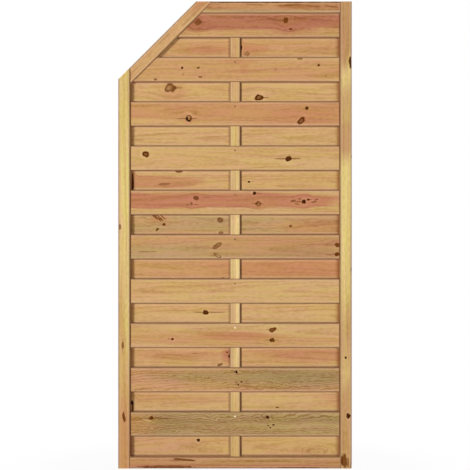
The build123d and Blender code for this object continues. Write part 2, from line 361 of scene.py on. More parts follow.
# Front boards from the top down: along is to the right of the panel's middle, across is up
FRONT_BOARDS = (
    Wood(
        "tan", "fawn", "brick", pith_depth=60, pith_shift=14, ripple=14, contrast=1.5,
        patches=(Patch(0, 20, 3000, 74, soft=0.14), Patch(220, -2, 220, 50, soft=0.5)),
        knots=(
            Knot(-142, 12, 28, 25, dark=0.53, left=40, right=34, pale=0.2, swirl=0.8),
            Knot(196, 19, 21, 22, dark=0.66, left=30, pale=0.15),
            Knot(215, -15, 15, 8, dark=0.6, left=24, right=30),
            Knot(150, 22, 60, 6, dark=0.26, tilt=-12),
            Knot(246, 27, 90, 5, dark=0.12, tilt=3),
            Knot(330, 21, 110, 6, dark=0.18, tilt=-3),
            Knot(70, 33, 130, 5, dark=0.12),
        ),
    ),
    Wood(
        "tan", "honey", "clay", pith_depth=90, pith_shift=-22,
        patches=(
            Patch(180, -8, 700, 60, soft=0.7, strength=0.4),
            Patch(14, 28, 110, 22, soft=0.9, strength=0.8),
            Patch(36, 6, 40, 46, soft=0.9, strength=0.8),
        ),
        knots=(
            Knot(-204, 6, 9, 11, dark=0.7, pale=0.0),
            Knot(-142, 7, 13, 8, dark=0.6),
            Knot(-200, -18, 8, 8, dark=0.3),
            Knot(-134, -29, 16, 9, dark=0.48),
            Knot(-307, -38, 12, 9, dark=0.52),
            Knot(250, 42, 22, 8, dark=0.48),
            Knot(273, 29, 10, 6, dark=0.16),
            Knot(323, 17, 12, 10, dark=0.74, pale=0.0),
            Knot(157, -2, 8, 7, dark=0.21),
            Knot(351, -23, 9, 8, dark=0.34),
        ),
    ),
    Wood(
        "tan", "honey", "clay", pith_depth=75, pith_shift=10, contrast=1.15,
        patches=(
            Patch(0, 14, 3000, 76, soft=0.25, strength=0.7),
            Patch(260, -4, 420, 70, soft=0.6),
        ),
        knots=(
            Knot(-178, -18, 25, 23, dark=0.82, left=50, right=36, pale=1.0),
            mark(-185, -20, 8, 17, dark=1.0),
            mark(-178, -27, 15, 7, dark=1.0),
            Knot(-150, 4, 24, 6, dark=0.14, tilt=35),
            Knot(278, 22, 14, 14, dark=0.89),
            Knot(256, -27, 36, 21, dark=0.82, tilt=40, pale=0.4),
        ),
    ),
    Wood(
        "wheat", "honey", "tan", pith_depth=110, pith_shift=-12, pith_slope=-0.015, contrast=1.05,
        knots=(
            Knot(-344, 15, 26, 21, dark=0.88, pale=0.4),
            Knot(207, -2, 24, 23, dark=0.89, left=62, right=54),
        ),
    ),
    Wood(
        "wheat", "tan", "rust", pith_depth=64, pith_shift=6,
        patches=(
            Patch(-850, 7, 2700, 64, soft=0.16, strength=0.86),
            Patch(230, 5, 340, 46, soft=0.2, strength=0.86),
        ),
        knots=(
            Knot(-150, 17, 22, 17, dark=0.62, pale=0.15),
            Knot(-168, -5, 12, 14, dark=0.43),
            Knot(75, 36, 13, 12, dark=0.98, right=30),
            Knot(90, -4, 21, 20, dark=0.76, left=30, right=22, pale=0.8),
            Knot(-183, -9, 16, 5, dark=0.4),
            Knot(-150, -8, 20, 5, dark=0.36),
            Knot(-108, 20, 28, 5, dark=0.36),
            Knot(224, 7, 22, 5, dark=0.55, tilt=8),
            Knot(238, -6, 20, 5, dark=0.52, tilt=-8),
            Knot(250, 14, 14, 5, dark=0.5, tilt=12),
            Knot(304, 2, 22, 5, dark=0.58, tilt=10),
            Knot(314, 11, 18, 5, dark=0.52, tilt=14),
            Knot(266, 3, 17, 17, dark=0.92, left=60, pale=0.0),
            Knot(283, 11, 12, 9, dark=0.85, right=20, pale=0.0),
        ),
    ),
    Wood(
        "tan", "olive", "brick",
        pith_depth=66, pith_shift=-10, pith_slope=0.014, ripple=10, contrast=1.2,
        patches=(Patch(290, -3, 700, 120, soft=0.8, strength=0.33),),
        knots=(
            Knot(-68, 4, 42, 16, dark=0.52, tilt=33, left=20, pale=0.3),
            Knot(-67, -34, 36, 14, dark=0.55, tilt=-30, left=34, pale=0.8),
            Knot(396, 7, 22, 18, dark=0.64, left=60),
            Knot(393, -29, 22, 15, dark=0.7, left=44),
            Knot(-338, -19, 70, 4, dark=0.35),
        ),
    ),
    Wood("wheat", "honey", "tan", pith_depth=58, pith_shift=4, pith_slope=0.016, ripple=8),
    Wood(
        "tan", "wheat", "clay", pith_depth=85, pith_shift=16,
        patches=(
            Patch(0, -1, 330, 36, soft=0.4, strength=0.9),
            Patch(-240, -5, 420, 32, soft=0.6, strength=0.5),
        ),
        knots=(
            Knot(-241, -14, 11, 11, dark=0.77, left=22),
            Knot(-257, -13, 6, 6, dark=0.32),
            Knot(146, 22, 27, 17, dark=0.72, tilt=15, left=30, right=26, pale=0.25),
            Knot(143, -18, 22, 16, dark=0.8, left=34, right=30, pale=0.25),
        ),
    ),
    Wood(
        "tan", "rose", "bark", pith_depth=46, pith_shift=-62, pith_slope=0.05,
        ring=6.2, wave=46, ripple=24, figure=0.9, contrast=1.9,
        patches=(
            Patch(240, 8, 600, 74, soft=0.8),
            Patch(-80, 14, 420, 48, soft=0.8, strength=0.7),
        ),
        knots=(
            Knot(4, 30, 13, 11, dark=1.0, pale=0.0),
            Knot(25, -8, 9, 7, dark=0.79),
            Knot(4, -11, 8, 7, dark=0.37),
            Knot(13, -20, 7, 7, dark=1.0),
        ),
    ),
    Wood(
        "olive", "bark", "tan", pith_depth=46, pith_shift=62, pith_slope=-0.05,
        ring=5.6, wave=50, ripple=28, figure=1.1, contrast=2.0,
        patches=(Patch(-390, 0, 150, 120, soft=0.8, strength=0.8),),
        knots=(
            Knot(-323, 23, 15, 17, dark=0.73, left=44, right=84),
            mark(-300, 22, 150, 8, dark=0.2),
            Knot(125, 27, 13, 12, dark=1.0, left=74, right=20),
            Knot(128, -6, 7, 6, dark=1.0),
            Knot(136, -14, 7, 6, dark=0.9),
            Knot(148, -3, 9, 6, dark=1.0),
        ),
    ),
)

# Back boards from the top down, measured in the same way
BACK_BOARDS = (
    Wood(
        "tan", "wheat", "clay", pith_depth=80, pith_shift=-8,
        patches=(
            Patch(-119, -5, 190, 24, soft=0.4),
            Patch(69, -7, 120, 30, soft=0.5),
        ),
        knots=(
            Knot(46, -22, 20, 19, dark=0.37, pale=0.5),
            # These two marks are painted shadow in the gap beside the batten's shaded side, on the board's
            # side towards the batten
            mark(24, 2, 9, 18, dark=1.0, side=1),
            mark(23, 6, 7, 66, dark=0.5, side=1),
        ),
    ),
    Wood(
        "wheat", "honey", "rust", pith_depth=95, pith_shift=18, contrast=1.05,
        patches=(Patch(-242, 8, 110, 44, soft=0.7, strength=0.4),),
        knots=(
            Knot(-250, 17, 46, 35, dark=0.6, right=54, pale=0.55),
            Knot(94, -21, 34, 23, dark=0.88, right=42, pale=0.45),
        ),
    ),
    Wood("honey", "wheat", "clay", pith_depth=62, pith_shift=-6, pith_slope=0.014),
    Wood(
        "honey", "wheat", "rust", pith_depth=84, pith_shift=-20,
        patches=(Patch(-345, -4, 430, 46, soft=0.2, strength=0.6),),
        knots=(
            # Painted shade in the gap at the board's left end beside the stile, on its side towards the
            # batten
            mark(-396, -16, 8, 104, dark=0.86, side=1),
            Knot(-217, 36, 32, 12, dark=0.58),
            Knot(54, -5, 11, 8, dark=1.0, right=20),
            Knot(-273, -14, 56, 8, dark=0.38, tilt=4),
        ),
    ),
    Wood(
        "tan", "olive", "clay", pith_depth=58, pith_shift=8, pith_slope=-0.014, ripple=12, contrast=1.5,
        patches=(
            Patch(326, -10, 260, 66, soft=0.7, strength=0.6),
            Patch(-296, 26, 70, 30, soft=0.6, strength=0.9),
        ),
        knots=(
            Knot(-314, 32, 40, 6, dark=0.52, tilt=-42),
            Knot(-303, 29, 44, 6, dark=0.61, tilt=-42),
            Knot(-292, 28, 44, 6, dark=0.61, tilt=-42),
            Knot(-281, 31, 40, 6, dark=0.52, tilt=-42),
            Knot(-275, 1, 13, 10, dark=0.66, pale=0.0),
            Knot(-300, -18, 16, 10, dark=0.63, tilt=35),
            Knot(-59, 17, 25, 21, dark=0.6, pale=0.3),
            Knot(-55, -31, 19, 12, dark=0.45),
            Knot(215, -5, 12, 10, dark=0.56),
        ),
    ),
    Wood(
        "tan", "tan", "clay", pith_depth=74, pith_shift=12,
        patches=(Patch(250, -3, 640, 96, soft=0.7), Patch(-60, 0, 130, 110, soft=0.8, strength=0.5)),
        knots=(Knot(-48, -34, 16, 7, dark=0.28),),
    ),
    Wood(
        "wheat", "honey", "tan", pith_depth=100, pith_shift=-14, contrast=1.05,
        knots=(Knot(-114, 3, 23, 18, dark=0.86, left=52, right=92),),
    ),
    Wood(
        "honey", "honey", "rust", pith_depth=70, pith_shift=4,
        patches=(
            Patch(288, 10, 460, 54, soft=0.6, strength=0.55),
            Patch(-211, 6, 385, 32, soft=0.6, strength=0.3),
            Patch(-28, 8, 50, 60, soft=0.6, strength=0.7),
        ),
        knots=(
            Knot(-31, 19, 9, 8, dark=0.58),
            Knot(-22, 4, 8, 11, dark=1.0),
            Knot(-59, -29, 22, 11, dark=0.53, tilt=20),
            Knot(-152, 14, 36, 4, dark=0.34),
        ),
    ),
    Wood(
        "wheat", "tan", "rose", pith_depth=88, pith_shift=-18,
        patches=(Patch(370, 10, 120, 50, soft=0.7, strength=0.4),),
        knots=(
            Knot(164, -23, 14, 5, dark=0.68),
            Knot(-398, -6, 12, 17, dark=1.0, pale=0.0),
            # Painted shade in the gap at the board's left end beside the stile, on its side towards the
            # batten
            mark(-396, -26, 8, 36, dark=0.62, side=1),
        ),
    ),
    Wood(
        "wheat", "honey", "rose", pith_depth=56, pith_shift=-10, pith_slope=0.016,
        patches=(Patch(-330, -3, 420, 116, soft=0.6, strength=0.6),),
        knots=(
            Knot(-142, 21, 13, 12, dark=0.98),
            Knot(-90, -16, 120, 34, dark=0.02, swirl=0.4),
            Knot(316, -26, 92, 40, dark=0.02, swirl=0.55),
        ),
    ),
)

# Upright pieces: along is down from the panel's top, across from the piece's middle to the right
LEFT_STILE = Wood(
    "straw", "moss", "clay", pith_depth=46, pith_shift=-12, pith_slope=0.004, wave=12, contrast=1.2,
    # The patches at the foot and near the top darken the ends: partly heartwood, partly painted shade where
    # the lamps' light falls off
    patches=(
        Patch(1760, 0, 620, 400, soft=0.6, strength=0.9),
        Patch(330, 0, 220, 400, soft=0.8, strength=0.14),
        Patch(1380, -6, 800, 22, soft=0.7, strength=0.5),
        Patch(860, -20, 900, 14, soft=0.8, strength=0.45),
    ),
    knots=(
        Knot(868, -16, 24, 10, dark=0.5, left=30, right=30, pale=0.2),
        Knot(1324, -5, 28, 9, dark=0.52, left=30, right=30, pale=0.2),
        Knot(1600, -1, 34, 11, dark=0.62, tilt=8, left=34, right=34),
    ),
)
RIGHT_STILE = Wood(
    "straw", "moss", "fawn", pith_depth=50, pith_shift=10, pith_slope=-0.004, wave=12, contrast=1.2,
    # The first and the last patch darken the top and the foot: partly heartwood, partly painted shade where
    # the lamps' light falls off
    patches=(
        Patch(60, 0, 400, 400),
        Patch(420, 0, 200, 400, soft=0.6, strength=0.75),
        Patch(525, 0, 160, 400, soft=0.5, strength=0.9),
        Patch(1320, 0, 280, 400, soft=0.8, strength=0.75),
        Patch(1660, 0, 480, 400, soft=0.4, strength=0.95),
    ),
    knots=(
        Knot(236, 17, 44, 12, dark=0.79, side=-1),
        Knot(598, 21, 15, 5, dark=0.45, side=-1),
        Knot(1032, 20, 18, 5, dark=0.45, side=-1),
        Knot(1374, -1, 12, 8, dark=0.98),
        Knot(1597, 9, 20, 15, dark=0.97),
        mark(1774, -6, 62, 22, dark=0.56),
        mark(1772, -15, 52, 9, dark=0.64),
        mark(1778, 8, 46, 8, dark=0.4),
    ),
)
CENTRE_BATTEN = Wood(
    "cream", "wheat", "honey",
    pith_depth=60, pith_shift=30, pith_slope=0.0, wave=6, ripple=2, contrast=0.9,
    # Both patches darken the ends: partly heartwood, partly painted shade where the lamps' light falls off
    patches=(
        Patch(60, 0, 800, 400, soft=0.7, strength=0.9),
        Patch(1760, 0, 560, 400, soft=0.7, strength=0.85),
    ),
    knots=(mark(900, -8, 2600, 6, dark=0.1),),
)

# Rails: along is to the right, across is up; on the sloped rail along is up the slope
TOP_RAIL = Wood(
    "fawn", "olive", "clay", pith_depth=48, pith_shift=6, ripple=12, figure=1.0, contrast=1.5,
    patches=(Patch(60, 6, 1200, 24, soft=0.5, strength=0.8),),
    knots=(
        mark(150, 19, 520, 4.5, dark=0.66),
        Knot(-42, 19, 40, 5, dark=0.5),
        Knot(76, 10, 90, 4, dark=0.36, tilt=-3),
        Knot(212, 8, 110, 5, dark=0.38, tilt=2),
        Knot(298, 4, 80, 5, dark=0.38, tilt=-4),
        Knot(372, 3, 54, 6, dark=0.42, tilt=-6),
    ),
)
BOTTOM_RAIL = Wood(
    "clay", "fawn", "brick", pith_depth=44, pith_shift=-8, contrast=1.4,
    patches=(Patch(-60, -16, 1400, 14, soft=0.6, strength=0.8),),
    knots=(
        Knot(-196, 12, 92, 8, dark=0.6, tilt=-5),
        Knot(-236, 9, 50, 4, dark=0.3, tilt=-3),
        Knot(-262, -15, 230, 10, dark=0.56),
        mark(-60, -21, 640, 4, dark=0.5),
        Knot(246, -20, 210, 6, dark=0.6),
        Knot(120, 6, 200, 4, dark=0.22),
    ),
)
SLOPED_RAIL = Wood(
    "honey", "honey", "clay", pith_depth=52, pith_shift=8,
    patches=(
        Patch(235, 0, 120, 60, soft=0.8, strength=0.75),
        Patch(90, 10, 120, 20, soft=0.8, strength=0.25),
        Patch(-240, 0, 130, 60, soft=0.8, strength=0.6),
    ),
    knots=(
        Knot(150, -6, 90, 10, dark=0.16, swirl=0.0),
        Knot(20, 8, 70, 6, dark=0.16, swirl=0.0),
        Knot(-160, 2, 110, 8, dark=0.14, swirl=0.0),
        mark(-170, 0, 76, 6, dark=0.42, tilt=45),
    ),
)


def linear(name):
    """A named tone as Blender's linear colour."""
    tone = Color([value / SCREEN_WHITE for value in TONES[name]])
    return (*tone.from_srgb_to_scene_linear(), 1.0)


def as_inputs(record):
    """The numbers of a knot, patch, wood or edge as inputs of its node group, in metres and radians."""
    inputs = {}
    for field, value in record._asdict().items():
        if isinstance(value, (int, float)):
            inputs[field.replace("_", " ").title()] = value * UNITS.get(field, 1)
    return inputs


class Nodes:
    """Short calls that add shader nodes to one node tree."""

    MIX_INPUTS = (0, 6, 7)  # the factor and the two colours of a colour mix
    MIX_OUTPUT = 2

    def __init__(self, tree):
        self.tree = tree

    def feed(self, socket, value):
        """Link a socket to an input, or set the input's plain value."""
        if isinstance(value, bpy.types.NodeSocket):
            self.tree.links.new(value, socket)
        else:
            socket.default_value = value

    def add(self, kind, inputs=None, **settings):
        """Add a node with its settings and inputs."""
        node = self.tree.nodes.new(kind)
        for name, value in settings.items():
            setattr(node, name, value)
        for name, value in (inputs or {}).items():
            self.feed(node.inputs[name], value)
        return node

    def group(self, tree, inputs):
        """Place a node group; give back its outputs."""
        return self.add("ShaderNodeGroup", inputs, node_tree=tree).outputs

    def math(self, operation, *values):
        """The result of a sum on one, two or three values."""
        node = self.add("ShaderNodeMath", operation=operation)
        for socket, value in zip(node.inputs, values):
            self.feed(socket, value)
        return node.outputs[0]

    def fade(self, value, start, end, low=0.0, high=1.0):
        """A smooth change from low to high as the value goes from start to end."""
        span = {"Value": value, "From Min": start, "From Max": end, "To Min": low, "To Max": high}
        return self.add("ShaderNodeMapRange", span, interpolation_type="SMOOTHSTEP").outputs[0]

    def stretch(self, vector, scale):
        """A vector with each of its axes scaled."""
        node = self.add("ShaderNodeVectorMath", operation="MULTIPLY")
        self.feed(node.inputs[0], vector)
        self.feed(node.inputs[1], scale)
        return node.outputs[0]

    def noise(self, vector, scale, seed, detail):
        """Noise from about -0.5 to 0.5 on a stretched vector."""
        inputs = {"Vector": self.stretch(vector, scale), "W": seed, "Scale": 1.0, "Detail": detail}
        node = self.add("ShaderNodeTexNoise", inputs, noise_dimensions="4D")
        return self.math("SUBTRACT", node.outputs[0], 0.5)

    def blend(self, factor, first, second, blend_type="MIX", clamp=True):
        """A mix of two colours; without clamp, a factor above 1 goes past the second colour."""
        node = self.add("ShaderNodeMix", data_type="RGBA", blend_type=blend_type, clamp_factor=clamp)
        for index, value in zip(self.MIX_INPUTS, (factor, first, second)):
            self.feed(node.inputs[index], value)
        return node.outputs[self.MIX_OUTPUT]

    def split(self, vector):
        """The three axes of a vector."""
        return self.add("ShaderNodeSeparateXYZ", {"Vector": vector}).outputs

    def join(self, x, y, z):
        """A vector of three values."""
        return self.add("ShaderNodeCombineXYZ", {"X": x, "Y": y, "Z": z}).outputs[0]

    def oval(self, along, across, length, width):
        """Distance from the middle of an oval, 1 on its outline."""
        far = self.math("DIVIDE", along, self.math("MULTIPLY", length, 0.5))
        wide = self.math("DIVIDE", across, self.math("MULTIPLY", width, 0.5))
        squares = self.math("MULTIPLY_ADD", far, far, self.math("MULTIPLY", wide, wide))
        return self.math("SQRT", squares)


def new_group(name, vectors=(), values=(), colours=(), outputs=()):
    """Start a shader node group with named sockets; give back its nodes, its inputs and its outputs."""
    tree = bpy.data.node_groups.new(name, "ShaderNodeTree")
    kinds = (("NodeSocketVector", vectors), ("NodeSocketFloat", values), ("NodeSocketColor", colours))
    for kind, names in kinds:
        for socket_name in names:
            tree.interface.new_socket(socket_name, in_out="INPUT", socket_type=kind)
    for socket_name in outputs:
        kind = "NodeSocketColor" if socket_name == "Color" else "NodeSocketFloat"
        tree.interface.new_socket(socket_name, in_out="OUTPUT", socket_type=kind)
    source = tree.nodes.new("NodeGroupInput").outputs
    sink = tree.nodes.new("NodeGroupOutput").inputs
    return Nodes(tree), source, sink


def make_knot_group():
    """A knot: a dark eye in a pale halo, resin streaks at its ends, and grain that bends round it."""
    nodes, source, sink = new_group(
        "Knot",
        vectors=("Grain",),
        values=(
            "Along", "Across", "Length", "Width", "Dark", "Pale", "Swirl", "Side", "Tilt",
            "Left", "Right", "Wobble", *KNOT_MASKS,
        ),
        outputs=KNOT_MASKS,
    )
    grain = nodes.split(source["Grain"])
    along = nodes.math("SUBTRACT", grain["X"], source["Along"])
    across = nodes.math("SUBTRACT", grain["Z"], source["Across"])
    through = nodes.math("SUBTRACT", 1.0, nodes.math("ABSOLUTE", source["Side"]))
    depth = nodes.math("MULTIPLY_ADD", grain["Y"], source["Side"], through)
    dark = nodes.math("MULTIPLY", source["Dark"], nodes.fade(depth, *INNER_SIDE))

    # The eye, with an uneven outline and sometimes a pale middle
    turned = nodes.add(
        "ShaderNodeVectorRotate",
        {"Vector": nodes.join(along, 0.0, across), "Angle": source["Tilt"]},
        rotation_type="Y_AXIS",
    )
    local = nodes.split(turned.outputs[0])
    reach = nodes.oval(local["X"], local["Z"], source["Length"], source["Width"])
    reach = nodes.math("MULTIPLY_ADD", source["Wobble"], KNOT_WOBBLE, reach)
    inside = nodes.fade(reach, *KNOT_RIM)
    middle = nodes.math("MULTIPLY", source["Pale"], nodes.fade(reach, *KNOT_MIDDLE))
    shade = nodes.math("MULTIPLY", dark, nodes.math("SUBTRACT", 1.0, middle))
    eye = nodes.math("MULTIPLY", inside, shade)
    nodes.feed(sink["Knot"], nodes.math("MAXIMUM", source["Knot"], eye))
    pale_middle = nodes.math("MULTIPLY", middle, middle)
    halo = nodes.math("MAXIMUM", nodes.fade(reach, *KNOT_HALO_REACH), pale_middle)
    halo = nodes.math("MULTIPLY", halo, dark)
    nodes.feed(sink["Halo"], nodes.math("MAXIMUM", source["Halo"], halo))

    # Rings of grain round the eye
    waves = nodes.math("SINE", nodes.math("MULTIPLY", reach, KNOT_RING_RATE))
    rings = nodes.fade(waves, *KNOT_RING_EDGE)
    rings = nodes.math("MULTIPLY", rings, nodes.fade(reach, *KNOT_RING_REACH))
    rings = nodes.math("MULTIPLY", rings, source["Swirl"])
    nodes.feed(sink["Rings"], nodes.math("MAXIMUM", source["Rings"], rings))

    # Streaks that narrow to a point at each end
    reach_left = nodes.math("MAXIMUM", source["Left"], SHORTEST_STREAK)
    reach_right = nodes.math("MAXIMUM", source["Right"], SHORTEST_STREAK)
    to_left = nodes.math("DIVIDE", nodes.math("MULTIPLY", along, -1.0), reach_left)
    to_right = nodes.math("DIVIDE", along, reach_right)
    left_over = nodes.math("SUBTRACT", 1.0, nodes.math("MAXIMUM", to_right, to_left))
    uneven = nodes.math("ABSOLUTE", nodes.math("MULTIPLY_ADD", source["Wobble"], STREAK_WOBBLE, across))
    taper = nodes.math("MULTIPLY_ADD", left_over, STREAK_TAPER, STREAK_TIP)
    thickness = nodes.math("MAXIMUM", nodes.math("MULTIPLY", source["Width"], taper), SHORTEST_STREAK)
    line = nodes.math("MULTIPLY", nodes.fade(uneven, thickness, 0.0), nodes.fade(left_over, *STREAK_END))
    line = nodes.math("MULTIPLY", line, dark)
    nodes.feed(sink["Streak"], nodes.math("MAXIMUM", source["Streak"], line))

    # Grain pushed aside by the knot
    wider = nodes.math("MULTIPLY", source["Width"], BEND_REACH)
    longer = nodes.math("MULTIPLY", source["Length"], BEND_REACH)
    spread = nodes.oval(along, across, longer, wider)
    push = nodes.math("EXPONENT", nodes.math("MULTIPLY", nodes.math("MULTIPLY", spread, spread), -1.0))
    shift = nodes.math("MULTIPLY", nodes.math("MULTIPLY", across, push), BEND_PUSH)
    nodes.feed(sink["Bend"], nodes.math("ADD", source["Bend"], shift))
    return nodes.tree


def make_heartwood_group():
    """A patch of heartwood with a soft, uneven outline that follows the grain."""
    nodes, source, sink = new_group(
        "Heartwood",
        vectors=("Grain",),
        values=("Bend", "Along", "Across", "Length", "Width", "Soft", "Strength", "Wobble", "Heart"),
        outputs=("Heart",),
    )
    grain = nodes.split(source["Grain"])
    along = nodes.math("SUBTRACT", grain["X"], source["Along"])
    across = nodes.math("SUBTRACT", nodes.math("ADD", grain["Z"], source["Bend"]), source["Across"])
    reach = nodes.oval(along, across, source["Length"], source["Width"])
    reach = nodes.math("MULTIPLY_ADD", source["Wobble"], HEART_WOBBLE, reach)
    outer = nodes.math("ADD", 1.0, source["Soft"])
    inner = nodes.math("SUBTRACT", 1.0, source["Soft"])
    patch = nodes.math("MULTIPLY", nodes.fade(reach, outer, inner), source["Strength"])
    nodes.feed(sink["Heart"], nodes.math("MAXIMUM", source["Heart"], patch))
    return nodes.tree


def make_edge_group():
    """Edges of a piece: painted shade as dark lines along them, at the frame and beside the batten, and a
    painted highlight inside them.
    """
    nodes, source, sink = new_group(
        "Edges",
        vectors=("Grain",),
        values=("Half Width", "Half Depth", "Half Opening", "Half Batten", "Covered", "Line", "Wobble"),
        outputs=("Dark", "Pale", "Stain"),
    )
    # Distances from the long edges, from the frame and from the batten
    grain = nodes.split(source["Grain"])
    inner_side = nodes.fade(grain["Y"], *INNER_SIDE)
    from_side = nodes.math("SUBTRACT", source["Half Width"], nodes.math("ABSOLUTE", grain["Z"]))
    from_side = nodes.math("SUBTRACT", from_side, nodes.math("MULTIPLY", source["Covered"], inner_side))
    from_face = nodes.math("SUBTRACT", source["Half Depth"], nodes.math("ABSOLUTE", grain["Y"]))
    from_edge = nodes.math("MAXIMUM", from_side, from_face)
    from_edge = nodes.math("MULTIPLY_ADD", source["Wobble"], LINE_WOBBLE, from_edge)
    from_end = nodes.math("SUBTRACT", source["Half Opening"], nodes.math("ABSOLUTE", grain["X"]))
    from_batten = nodes.math("SUBTRACT", nodes.math("ABSOLUTE", grain["X"]), source["Half Batten"])

    # Painted shade: dark lines along the edges, reaching over the part that the other layer covers, at the
    # frame and beside the batten, where it is the strongest on the batten's shaded side
    along_edge = nodes.math("MULTIPLY", nodes.fade(from_edge, source["Line"], LINE_CORE), EDGE_LINE_SHARE)
    at_end = nodes.fade(from_end, source["Line"], LINE_CORE)
    wide_line = nodes.math("MULTIPLY", source["Line"], BATTEN_LINE_SHARE)
    shaded_side = nodes.fade(grain["X"], -HALF_BATTEN, HALF_BATTEN, *BATTEN_SHADE)
    at_batten = nodes.math("MULTIPLY", nodes.fade(from_batten, wide_line, LINE_CORE), inner_side)
    at_batten = nodes.math("MULTIPLY", at_batten, shaded_side)
    nodes.feed(sink["Dark"], nodes.math("MAXIMUM", nodes.math("MAXIMUM", along_edge, at_end), at_batten))

    # A painted highlight along the edges, and painted shade where a board enters the frame
    nodes.feed(sink["Pale"], nodes.fade(from_edge, *EDGE_HIGHLIGHT_REACH))
    # Painted shade in the corner where a board enters the frame, on its inner side
    nodes.feed(sink["Stain"], nodes.math("MULTIPLY", nodes.fade(from_end, *CORNER_SHADE_REACH), inner_side))
    return nodes.tree


def make_pine_group():
    """Planed pine: yearly rings round a pith, streaks, fibres, heartwood, knots, and painted shade and
    highlight at the edges.
    """
    nodes, source, sink = new_group(
        "Pine",
        vectors=("Grain",),
        values=(
            "Bend", "Seed", "Pith Depth", "Pith Shift", "Pith Slope", "Ring", "Wave", "Ripple", "Figure",
            "Contrast", "Heart", "Knot", "Streak", "Halo", "Rings", "Edge Shade", "Edge Highlight", "Stain",
        ),
        colours=("Tone", "Blush", "Heart Tone"),
        outputs=("Color", "Roughness", "Height"),
    )
    # Grain that wanders, ripples and bends round the knots
    grain = nodes.split(source["Grain"])
    seed = source["Seed"]
    wander = nodes.noise(source["Grain"], WANDER, seed, detail=3.0)
    ripple = nodes.noise(source["Grain"], RIPPLE, seed, detail=2.0)
    lively = nodes.noise(source["Grain"], LIVELINESS, seed, detail=1.0)
    ripple = nodes.math("MULTIPLY", ripple, nodes.fade(lively, *LIVELY_RANGE, *LIVELY_RIPPLE))
    across = nodes.math("ADD", grain["Z"], source["Bend"])
    across = nodes.math("MULTIPLY_ADD", wander, source["Wave"], across)
    across = nodes.math("MULTIPLY_ADD", ripple, source["Ripple"], across)
    bent = nodes.join(grain["X"], grain["Y"], across)

    # Yearly rings: pale earlywood that darkens to a line of latewood
    below = nodes.math("SUBTRACT", grain["Y"], source["Pith Depth"])
    below = nodes.math("MULTIPLY_ADD", grain["X"], source["Pith Slope"], below)
    below = nodes.math("MULTIPLY_ADD", wander, PITH_WANDER, below)
    aside = nodes.math("SUBTRACT", across, source["Pith Shift"])
    squares = nodes.math("MULTIPLY_ADD", below, below, nodes.math("MULTIPLY", aside, aside))
    year = nodes.math("FRACT", nodes.math("DIVIDE", nodes.math("SQRT", squares), source["Ring"]))
    late = nodes.math("MULTIPLY", nodes.fade(year, *LATE_RISE), nodes.fade(year, *LATE_FALL))
    fading = nodes.noise(bent, RING_FADING, seed, detail=1.0)
    fading = nodes.math("MULTIPLY_ADD", fading, RING_FADING_SPREAD, RING_FADING_MIDDLE)
    late = nodes.math("MULTIPLY", late, fading)

    # Streaks, flecks and fibres that run with the grain
    streaks = nodes.noise(bent, STREAKS, seed, detail=3.0)
    flecks = nodes.noise(bent, FLECKS, seed, detail=2.0)
    fibres = nodes.noise(bent, FIBRES, seed, detail=1.0)
    depth = nodes.math("MULTIPLY", late, source["Figure"])
    depth = nodes.math("MULTIPLY_ADD", streaks, STREAK_DEPTH, depth)
    depth = nodes.math("MULTIPLY_ADD", flecks, FLECK_DEPTH, depth)
    depth = nodes.math("ADD", depth, source["Rings"])
    depth = nodes.math("MULTIPLY_ADD", depth, source["Contrast"], LEAST_DEPTH)
    depth = nodes.math("MULTIPLY_ADD", fibres, FIBRE_DEPTH, depth)
    depth = nodes.math("MINIMUM", nodes.math("MAXIMUM", depth, 0.0), DARKEST_RING)

    # Slow change of tone, heartwood, streaks of another hue, then the rings over all
    slow = nodes.fade(nodes.noise(bent, SLOW_TONE, seed, detail=1.5), *SLOW_TONE_RANGE)
    colour = nodes.blend(slow, source["Tone"], source["Blush"])
    colour = nodes.blend(source["Heart"], colour, source["Heart Tone"])
    hue = nodes.fade(nodes.noise(bent, HUE_STREAKS, seed, detail=2.0), *HUE_RANGE)
    colour = nodes.blend(1.0, colour, nodes.blend(hue, YELLOWER, PINKER), "MULTIPLY")
    rings = nodes.blend(depth, EARLYWOOD, LATEWOOD, clamp=False)
    colour = nodes.blend(1.0, colour, rings, "MULTIPLY")

    # Painted highlight and painted shade at the edges, then knots and their streaks
    # Painted highlight: a paler band just inside the edges
    colour = nodes.blend(nodes.math("MULTIPLY", source["Edge Highlight"], EDGE_HIGHLIGHT_MIX), colour, linear("painted_highlight"))
    # Painted shade where a board enters the frame
    colour = nodes.blend(source["Stain"], colour, PAINTED_CORNER_SHADE, "MULTIPLY")
    colour = nodes.blend(source["Halo"], colour, KNOT_HALO, "MULTIPLY")
    colour = nodes.blend(nodes.math("MULTIPLY", source["Streak"], STREAK_MIX), colour, linear("umber"))
    brown = nodes.math("MINIMUM", nodes.math("MULTIPLY", source["Knot"], BROWN_RISE), 1.0)
    black = nodes.math("MAXIMUM", nodes.math("MULTIPLY_ADD", source["Knot"], BLACK_RISE, BLACK_START), 0.0)
    colour = nodes.blend(brown, colour, linear("umber"))
    colour = nodes.blend(black, colour, linear("soot"))
    # Painted shade: the dark lines along the edges, at the frame and beside the batten
    colour = nodes.blend(nodes.math("MULTIPLY", source["Edge Shade"], EDGE_SHADE_MIX), colour, linear("painted_shade"))
    nodes.feed(sink["Color"], colour)

    # Latewood and knots are harder, so they stand a little proud and are smoother
    hard = nodes.math("ADD", late, source["Knot"])
    nodes.feed(sink["Roughness"], nodes.fade(hard, 0.0, HARDEST, *PINE_ROUGHNESS))
    height = nodes.math("MULTIPLY", fibres, FIBRE_HEIGHT)
    height = nodes.math("MULTIPLY_ADD", late, RING_HEIGHT, height)
    height = nodes.math("MULTIPLY_ADD", source["Streak"], STREAK_HEIGHT, height)
    height = nodes.math("MULTIPLY_ADD", source["Knot"], KNOT_HEIGHT, height)
    nodes.feed(sink["Height"], height)
    return nodes.tree


